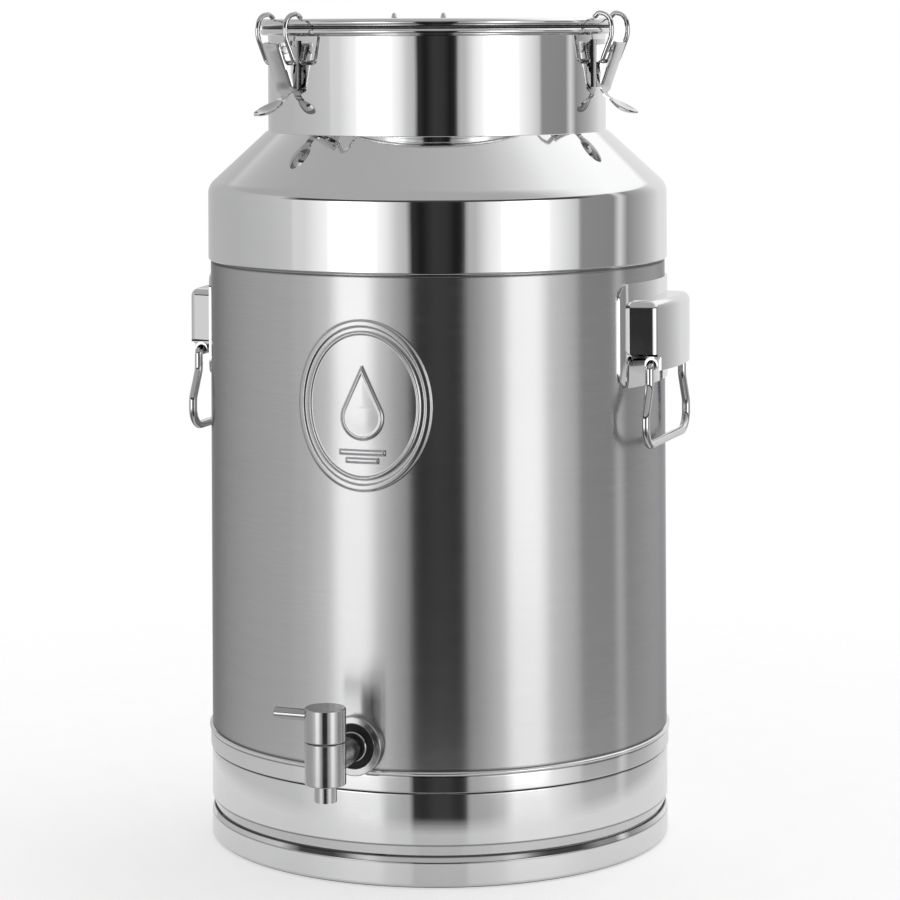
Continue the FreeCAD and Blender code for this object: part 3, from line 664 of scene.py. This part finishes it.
# lid: rolled edge, recessed pan
zc = Z_LID_TOP * 1000 - 3.13
pan = sheet_profile([(0, 611.0), (60, 611.0), (129.0, 608.0), (129.0, 634.6), (135.6, 634.6)], [300.0, 7.0, 3.0], 1.2, 12)
lid_pan = lathe("lid_pan", mmp(pan), M_POL, longest=0.02)
stand(lid_pan, "lid", "shell_polished", "lid_disc")
curl = lathe("lid_rolled_edge", mmp(arc(R_LID * 1000 - 3.13, zc, 3.13, 0, 360, 28)[:-1]), M_POL)
stand(curl, "lid", "shell_polished")

# ---------------------------------------------------------------------------
# toggle clips. Local frame: u outward from the neck surface, t along the tangent, z up
# ---------------------------------------------------------------------------
JOINT = {j["name"]: j for j in frame["record"]["behaviour"]["joints"]}


def clip_frame(key):
    p = JOINT["clip_lever_hinge_" + key]["pos_m"]
    az = math.atan2(p[1], p[0])
    out = np.array([math.cos(az), math.sin(az), 0.0])
    tan = np.array([-math.sin(az), math.cos(az), 0.0])
    return out, tan


def place(out, tan, u, t, z):
    return out * (R_NECK + u * MM) + tan * (t * MM) + np.array([0, 0, z * MM])


S0, S1, TIP = np.array([19.3, 619.7]), np.array([4.6, 579.0]), np.array([32.3, 565.3])
HOOK = [(9.8, 605.0), (18.8, 627.0), (16.2, 640.9), (7.6, 642.7), (3.6, 638.6)]


def lever_mesh(key):
    """A pressed lever: strap with rolled flanges, a waist at the bend, and a dished round spoon."""
    out, tan = clip_frame(key)
    centre = [np.array(p) for p in round_path([S0, S1, TIP], [5.0], 14)]
    dist = [0.0]
    for a, b in zip(centre[:-1], centre[1:]):
        dist.append(dist[-1] + float(np.linalg.norm(b - a)))
    total = dist[-1]

    def at(s):
        s = min(max(s, 0.0), total)
        for i in range(len(dist) - 1):
            if s <= dist[i + 1]:
                f = (s - dist[i]) / (dist[i + 1] - dist[i])
                p = centre[i] * (1 - f) + centre[i + 1] * f
                d = centre[i + 1] - centre[i]
                return p, d / np.linalg.norm(d)
        d = centre[-1] - centre[-2]
        return centre[-1], d / np.linalg.norm(d)

    s_spoon = total - 12.2
    s_bend = dist[len(dist) // 2]
    stations = list(np.linspace(0, s_bend - 8, 36)) + list(np.linspace(s_bend - 7.6, s_spoon - 12.0, 32))
    stations += [s_spoon - 12.2 * math.cos(a) for a in np.linspace(math.radians(12), math.radians(176.5), 30)]
    stations = sorted(x for x in stations if x <= total)
    half_n = 16
    verts, faces = [], []
    cols = 2 * half_n + 1
    for s in stations:
        p, d = at(s)
        nrm = np.array([d[1], -d[0]])          # towards the neck: the side the flanges point to
        if nrm[0] > 0:
            nrm = -nrm
        # width
        k = s_bend - s
        w_strap = 5.6 + (12.25 - 5.6) * float(smooth((k - 0.4) / 3.6)) if k > 0 else 5.6
        off = s - s_spoon
        w_disc = math.sqrt(max(12.2 ** 2 - off ** 2, 0.0)) if abs(off) < 12.2 else 0.0
        w = max(w_strap if s < s_spoon - 4 else 0.0, w_disc, 0.7)
        end = 1 - math.sqrt(max(0.0, 1 - ((2.2 - s) / 2.2) ** 2)) if s < 2.2 else 0.0
        w -= 0.75                               # the sheet's half thickness is added on the outside of the flanges
        # flange depth
        q = s_bend - s
        pts = [(0, 0), (5.0, 0), (8.5, 2.4), (15.5, 4.2), (21.0, 7.4), (29.5, 7.6), (40.0, 7.2), (44.0, 4.8)]
        f = float(np.interp(q, [a for a, _ in pts], [b for _, b in pts]))
        f = max(f - 0.4 - 1.8 * end, 0.0)
        rr = min(0.95, f * 0.8)
        face, bend, leg = w - rr, rr * math.pi / 2, max(f - rr, 0.0)
        length = face + bend + leg
        row = []
        for j in range(half_n + 1):
            x = length * j / half_n
            if x <= face or rr <= 0:
                tt, dd = x, 0.0
            elif x <= face + bend:
                a = (x - face) / rr
                tt, dd = face + rr * math.sin(a), rr * (1 - math.cos(a))
            else:
                tt, dd = w, rr + (x - face - bend)
            row.append((tt, dd))
        full = [(-a, b) for a, b in reversed(row[1:])] + row
        for tt, dd in full:
            dish = 0.0
            rad = math.hypot(off, tt)
            if rad < 12.2:
                dish = 3.9 * (1 - (rad / 12.2) ** 2)
            crown = 0.0
            if q > 5:
                crown = 0.55 * (1 - (tt / max(w, 1)) ** 2) * float(smooth((q - 5) / 7.0)) * float(smooth((s + 0.5) / 6.0))
            roll = 0.0
            pos = p + nrm * (dd + roll - crown) + np.array([nrm[0], nrm[1]]) * dish * (1.0 if q < 0 else 0.0)
            verts.append(place(out, tan, pos[0], tt, pos[1]))
    rows = len(stations)
    for i in range(rows - 1):
        for j in range(cols - 1):
            faces.append((i * cols + j, i * cols + j + 1, (i + 1) * cols + j + 1, (i + 1) * cols + j))
    o = new_object("lever_pressed_" + key, verts, faces, M_FIT, 0)
    so = o.modifiers.new("thick", "SOLIDIFY")
    so.thickness = 1.2 * MM
    so.offset = 0.0
    so.use_even_offset = False
    apply_modifiers(o)
    for pl in o.data.polygons:
        pl.use_smooth = True
    o.data.set_sharp_from_angle(angle=math.radians(48))
    return o


for key in "abc":
    out, tan = clip_frame(key)
    legs = [place(out, tan, u, -20.8, z) for u, z in reversed(HOOK)] + [place(out, tan, u, 20.8, z) for u, z in HOOK]
    r0 = [3.0, 8.0, 20.0]
    bail = tube("bail_wire_" + key, legs, [x * MM for x in r0 + [3.0, 3.0] + r0[::-1]], 1.9 * MM, M_FIT, ring=24, n=12, cap=0.5, step=0.003)
    stand(bail, "clip_bail_" + key, "fittings_steel", "clip_bail_" + key)
    stand(lever_mesh(key), "clip_lever_" + key, "fittings_steel", "clip_lever_" + key)

def soften(node, width, angle=50.0):
    """Small rounded edges on a carried-over sheet part."""
    o = NODES[node]
    wd = o.modifiers.new("weld", "WELD")
    wd.merge_threshold = 1e-6
    be = o.modifiers.new("edge", "BEVEL")
    be.width = width * MM
    be.segments = 2
    be.limit_method = "ANGLE"
    be.angle_limit = math.radians(angle)
    be.harden_normals = False


for node in ("lid_handle", "handle_plate_left", "handle_plate_right", "clip_base_a", "clip_base_b", "clip_base_c", "tap_locknut"):
    soften(node, 0.35)

# ---------------------------------------------------------------------------
# drop handles
# ---------------------------------------------------------------------------
for side, sx in (("right", 1), ("left", -1)):
    hp = JOINT["handle_swing_" + side]["pos_m"]
    hx, hz = abs(hp[0]) * 1000, hp[2] * 1000
    plan = [(-22, hz), (-45.5, hz), (-45.5, 359.0), (-57, 337.0), (-57, 314.8), (57, 314.8), (57, 337.0), (45.5, 359.0), (45.5, hz), (22, hz)]
    pts = [np.array([sx * hx, sx * y, z]) * MM for y, z in plan]
    rg = tube("ring_bar_" + side, pts, [r * MM for r in (4.4, 14, 14, 15, 15, 14, 14, 4.4)], 3.25 * MM, M_FIT, ring=28, n=14, cap=0.3, step=0.004)
    stand(rg, "handle_ring_" + side, "fittings_steel", "handle_ring_" + side)

# ---------------------------------------------------------------------------
# stage: floor, world, camera
# ---------------------------------------------------------------------------
AZ = math.radians(20.2)
CAM_D, CAM_Z = 2.394, 0.632

cam_data = bpy.data.cameras.new("camera")
cam = bpy.data.objects.new("camera", cam_data)
bpy.context.scene.collection.objects.link(cam)
cam.location = (CAM_D * math.sin(AZ), -CAM_D * math.cos(AZ), CAM_Z)
cam.rotation_euler = (math.pi / 2, 0.0045, AZ)
cam_data.lens = 120.8
cam_data.sensor_width = 36.0
cam_data.clip_start, cam_data.clip_end = 0.05, 50
for path, value in (("shift_x", 0.01478), ("shift_y", -0.470)):
    d = cam_data.driver_add(path).driver
    d.type = "SCRIPTED"
    for nm, tt in (("px", "LOC_X"), ("pz", "LOC_Z")):
        v = d.variables.new()
        v.name = nm
        v.type = "TRANSFORMS"
        v.targets[0].id = cam
        v.targets[0].transform_type = tt
        v.targets[0].transform_space = "WORLD_SPACE"
    d.expression = "%.6f if abs(px - %.6f) < 0.001 and abs(pz - %.6f) < 0.001 else 0.0" % (value, cam.location.x, cam.location.z)
bpy.context.scene.camera = cam

# floor: a pale disc that fades into the white surround
R_FLOOR = 6.0
fv = [(0, 0, 0)]
ff = []
rings_r = [0.25, 0.5, 0.8, 1.2, 1.8, 2.6, 4.0, R_FLOOR]
segs = 96
for r in rings_r:
    for j in range(segs):
        a = 2 * math.pi * j / segs
        fv.append((r * math.cos(a), r * math.sin(a), 0))
for j in range(segs):
    ff.append((0, 1 + j, 1 + (j + 1) % segs))
for i in range(len(rings_r) - 1):
    for j in range(segs):
        j2 = (j + 1) % segs
        ff.append((1 + i * segs + j, 1 + i * segs + j2, 1 + (i + 1) * segs + j2, 1 + (i + 1) * segs + j))
fm = Mat("pale_floor")
fm.t.nodes.remove(fm.b)
diff = fm.n("ShaderNodeBsdfDiffuse")
glow = fm.n("ShaderNodeEmission")
glow.inputs[0].default_value = (1, 1, 1, 1)
grain = fm.noise(fm.position(), 30.0, 3.0, 0.5)
fm.link(fm.ramp(grain, [(0.3, (0.80, 0.80, 0.80, 1)), (0.7, (0.83, 0.83, 0.83, 1))]), diff.inputs[0])
both = fm.n("ShaderNodeAddShader")
fm.link(diff.outputs[0], both.inputs[0])
fm.link(glow.outputs[0], both.inputs[1])
trans = fm.n("ShaderNodeBsdfTransparent")
lp = fm.n("ShaderNodeLightPath")
fm.link(fm.math("ADD", fm.math("MULTIPLY", lp.outputs["Is Camera Ray"], 0.47), fm.math("MULTIPLY", lp.outputs["Is Glossy Ray"], 0.36)), glow.inputs[1])
sep = fm.n("ShaderNodeSeparateXYZ")
fm.link(fm.position(), sep.inputs[0])
rad = fm.math("SQRT", fm.math("ADD", fm.math("MULTIPLY", sep.outputs[0], sep.outputs[0]), fm.math("MULTIPLY", sep.outputs[1], sep.outputs[1])))
# the floor fades into the pale surround; in the polished steel only its nearest part shows
seen = fm.remap(rad, 0.30, 1.0, 0.0, 1.0)
mirrored = fm.remap(rad, 0.325, 0.375, 0.30, 1.0)
how = fm.n("ShaderNodeMix")
fm.link(lp.outputs["Is Glossy Ray"], how.inputs[0])
fm.link(seen, how.inputs[2])
fm.link(mirrored, how.inputs[3])
mix1 = fm.n("ShaderNodeMixShader")
fm.link(how.outputs[0], mix1.inputs[0])
fm.link(both.outputs[0], mix1.inputs[1])
fm.link(trans.outputs[0], mix1.inputs[2])
fm.link(mix1.outputs[0], fm.out.inputs[0])
floor_me = bpy.data.meshes.new("floor")
floor_me.from_pydata(fv, [], ff)
floor_me.materials.append(fm.m)
floor = bpy.data.objects.new("floor", floor_me)
bpy.context.scene.collection.objects.link(floor)
floor.location.z = -0.0004

# world: a soft studio painted by direction
world = bpy.data.worlds.new("studio")
bpy.context.scene.world = world
world.use_nodes = True
wt = world.node_tree
wt.nodes.clear()


class W(Mat):
    def __init__(self, tree):
        self.t = tree


w = W(wt)
wout = w.n("ShaderNodeOutputWorld")
bg = w.n("ShaderNodeBackground")
tc = w.n("ShaderNodeTexCoord")
rot = w.n("ShaderNodeMapping")
rot.vector_type = "POINT"
# turn directions so that +X of the rotated frame points from the can to the camera
rot.inputs["Rotation"].default_value = (0, 0, math.pi / 2 - AZ)
w.link(tc.outputs["Generated"], rot.inputs[0])
ws = w.n("ShaderNodeSeparateXYZ")
w.link(rot.outputs[0], ws.inputs[0])
az = w.math("MULTIPLY", w.math("ARCTAN2", ws.outputs[1], ws.outputs[0]), 1 / (2 * math.pi))
az = w.math("ADD", az, 0.5)          # 0.5 is the camera's side; grows to the camera's right
el = w.math("ADD", w.math("MULTIPLY", w.math("ARCSINE", ws.outputs[2]), 1 / math.pi), 0.5)


def az_stops(stops):
    out = []
    for deg, v in stops:
        out.append(((deg + 180) / 360.0, g(v)))
    return out


# soft boxes left and right of the camera, the dark gap between them where the camera stands, grey side walls
horizon = w.ramp(az, az_stops([
    (-180, 0.62), (-150, 0.52), (-118, 0.53), (-92, 0.60), (-77.5, 0.67), (-76, 0.78), (-69, 0.80), (-61, 1.02), (-53, 1.2), (-31, 1.22), (-25, 1.0),
    (-20, 0.68), (-15, 0.54), (-13, 0.04), (-8, 0.012), (-2, 0.045), (4, 0.04), (9, 0.012), (12.4, 0.03), (14.6, 0.52), (18.5, 0.55), (25, 0.95), (32, 1.2),
    (54, 1.22), (67, 0.86), (73, 0.66), (75, 0.30), (97, 0.28), (102, 0.80), (108, 0.30), (124, 0.50), (145, 0.85)]))
# the soft boxes end a little above the can; the ceiling is dark right overhead
front = w.ramp(el, [(0.0, g(0.80)), (0.42, g(0.93)), (0.50, g(1.0)), (0.60, g(1.0)), (0.70, g(1.0)), (0.75, g(0.95)), (1.0, g(0.9))])
mul = w.n("ShaderNodeMix")
mul.data_type = "RGBA"
mul.blend_type = "MULTIPLY"
mul.inputs["Factor"].default_value = 1.0
w.link(horizon, mul.inputs["A"])
w.link(front, mul.inputs["B"])
# the middle of each soft box is hotter than its edges
core = w.ramp(az, az_stops([(-180, 0.0), (-56, 0.0), (-49, 0.95), (-36, 0.95), (-30, 0.0), (31, 0.0), (37, 0.95), (50, 0.95), (57, 0.0)]))
hot = w.n("ShaderNodeMix")
hot.data_type = "RGBA"
hot.blend_type = "ADD"
hot.inputs["Factor"].default_value = 1.0
w.link(mul.outputs["Result"], hot.inputs["A"])
w.link(core, hot.inputs["B"])
# lower down, light comes back from the pale table and evens out the grey sides
low = w.ramp(az, az_stops([
    (-180, 0.70), (-120, 0.60), (-75, 0.60), (-55, 0.80), (-46, 0.92), (-31, 0.92), (-26, 0.55), (-19, 0.45), (-15, 0.42), (-13, 0.04), (-8, 0.03), (-2, 0.05), (4, 0.05),
    (9, 0.03), (12.4, 0.05), (14.6, 0.40), (24, 0.45), (31, 0.60), (37, 0.95), (54, 0.95), (70, 0.68), (80, 0.58), (125, 0.60), (150, 0.66)]))
lowmix = w.n("ShaderNodeMix")
lowmix.data_type = "RGBA"
w.link(w.remap(el, 0.5 - 12.0 / 180, 0.5 - 14.6 / 180, 0.0, 1.0), lowmix.inputs["Factor"])
w.link(hot.outputs["Result"], lowmix.inputs["A"])
# towards the ground the room is darker
steep = w.ramp(el, [(0.0, g(0.20)), (0.5 - 70.0 / 180, g(0.25)), (0.5 - 46.0 / 180, g(0.42)), (0.5 - 38.0 / 180, g(0.30)), (0.5 - 27.0 / 180, g(0.32)), (0.5 - 21.0 / 180, g(0.70)), (0.5 - 17.5 / 180, g(1.0))])
lower = w.n("ShaderNodeMix")
lower.data_type = "RGBA"
lower.blend_type = "MULTIPLY"
lower.inputs["Factor"].default_value = 1.0
w.link(low, lower.inputs["A"])
w.link(steep, lower.inputs["B"])
w.link(lower.outputs["Result"], lowmix.inputs["B"])
# ceiling: even grey, with a bright window behind and to the right
side = w.math("SUBTRACT", w.math("MULTIPLY", ws.outputs[1], 0.7071), w.math("MULTIPLY", ws.outputs[0], 0.7071))
overhead = w.ramp(w.math("ADD", w.math("MULTIPLY", side, 0.5), 0.5), [
    (0.0, g(0.46)), (0.44, g(0.46)), (0.50, g(0.49)), (0.56, g(0.53)), (0.60, g(0.58)), (0.68, g(0.78)), (0.765, g(1.05)), (0.88, g(1.2)), (1.0, g(1.1))])
ceil = w.n("ShaderNodeMix")
ceil.data_type = "RGBA"
w.link(w.remap(el, 0.5 + 20.0 / 180, 0.5 + 24.0 / 180, 0.0, 1.0), ceil.inputs["Factor"])
# a dark gap runs along the top of the soft boxes on the camera's side
gap = w.n("ShaderNodeMix")
gap.data_type = "RGBA"
gap_el = w.ramp(el, [(0.0, g(0.0)), (0.5 + 9.0 / 180, g(0.0)), (0.5 + 11.0 / 180, g(1.0)), (0.5 + 21.0 / 180, g(1.0)), (0.5 + 24.0 / 180, g(0.0)), (1.0, g(0.0))])
gap_az = w.ramp(az, az_stops([(-180, 0.0), (-86, 0.0), (-74, 1.0), (74, 1.0), (86, 0.0), (180, 0.0)]))
w.link(w.math("MULTIPLY", gap_el, gap_az), gap.inputs["Factor"])
w.link(lowmix.outputs["Result"], gap.inputs["A"])
gap.inputs["B"].default_value = g(0.06)
w.link(gap.outputs["Result"], ceil.inputs["A"])
w.link(overhead, ceil.inputs["B"])
camw = w.n("ShaderNodeMix")
camw.data_type = "RGBA"
wlp = w.n("ShaderNodeLightPath")
w.link(wlp.outputs["Is Camera Ray"], camw.inputs["Factor"])
w.link(ceil.outputs["Result"], camw.inputs["A"])
camw.inputs["B"].default_value = g(1.0)
w.link(camw.outputs["Result"], bg.inputs[0])
bg.inputs[1].default_value = 1.0
w.link(bg.outputs[0], wout.inputs[0])

sc = bpy.context.scene
sc.view_settings.view_transform = "Standard"
sc.view_settings.look = "None"
sc.view_settings.exposure = 0.0
sc.view_settings.gamma = 1.0
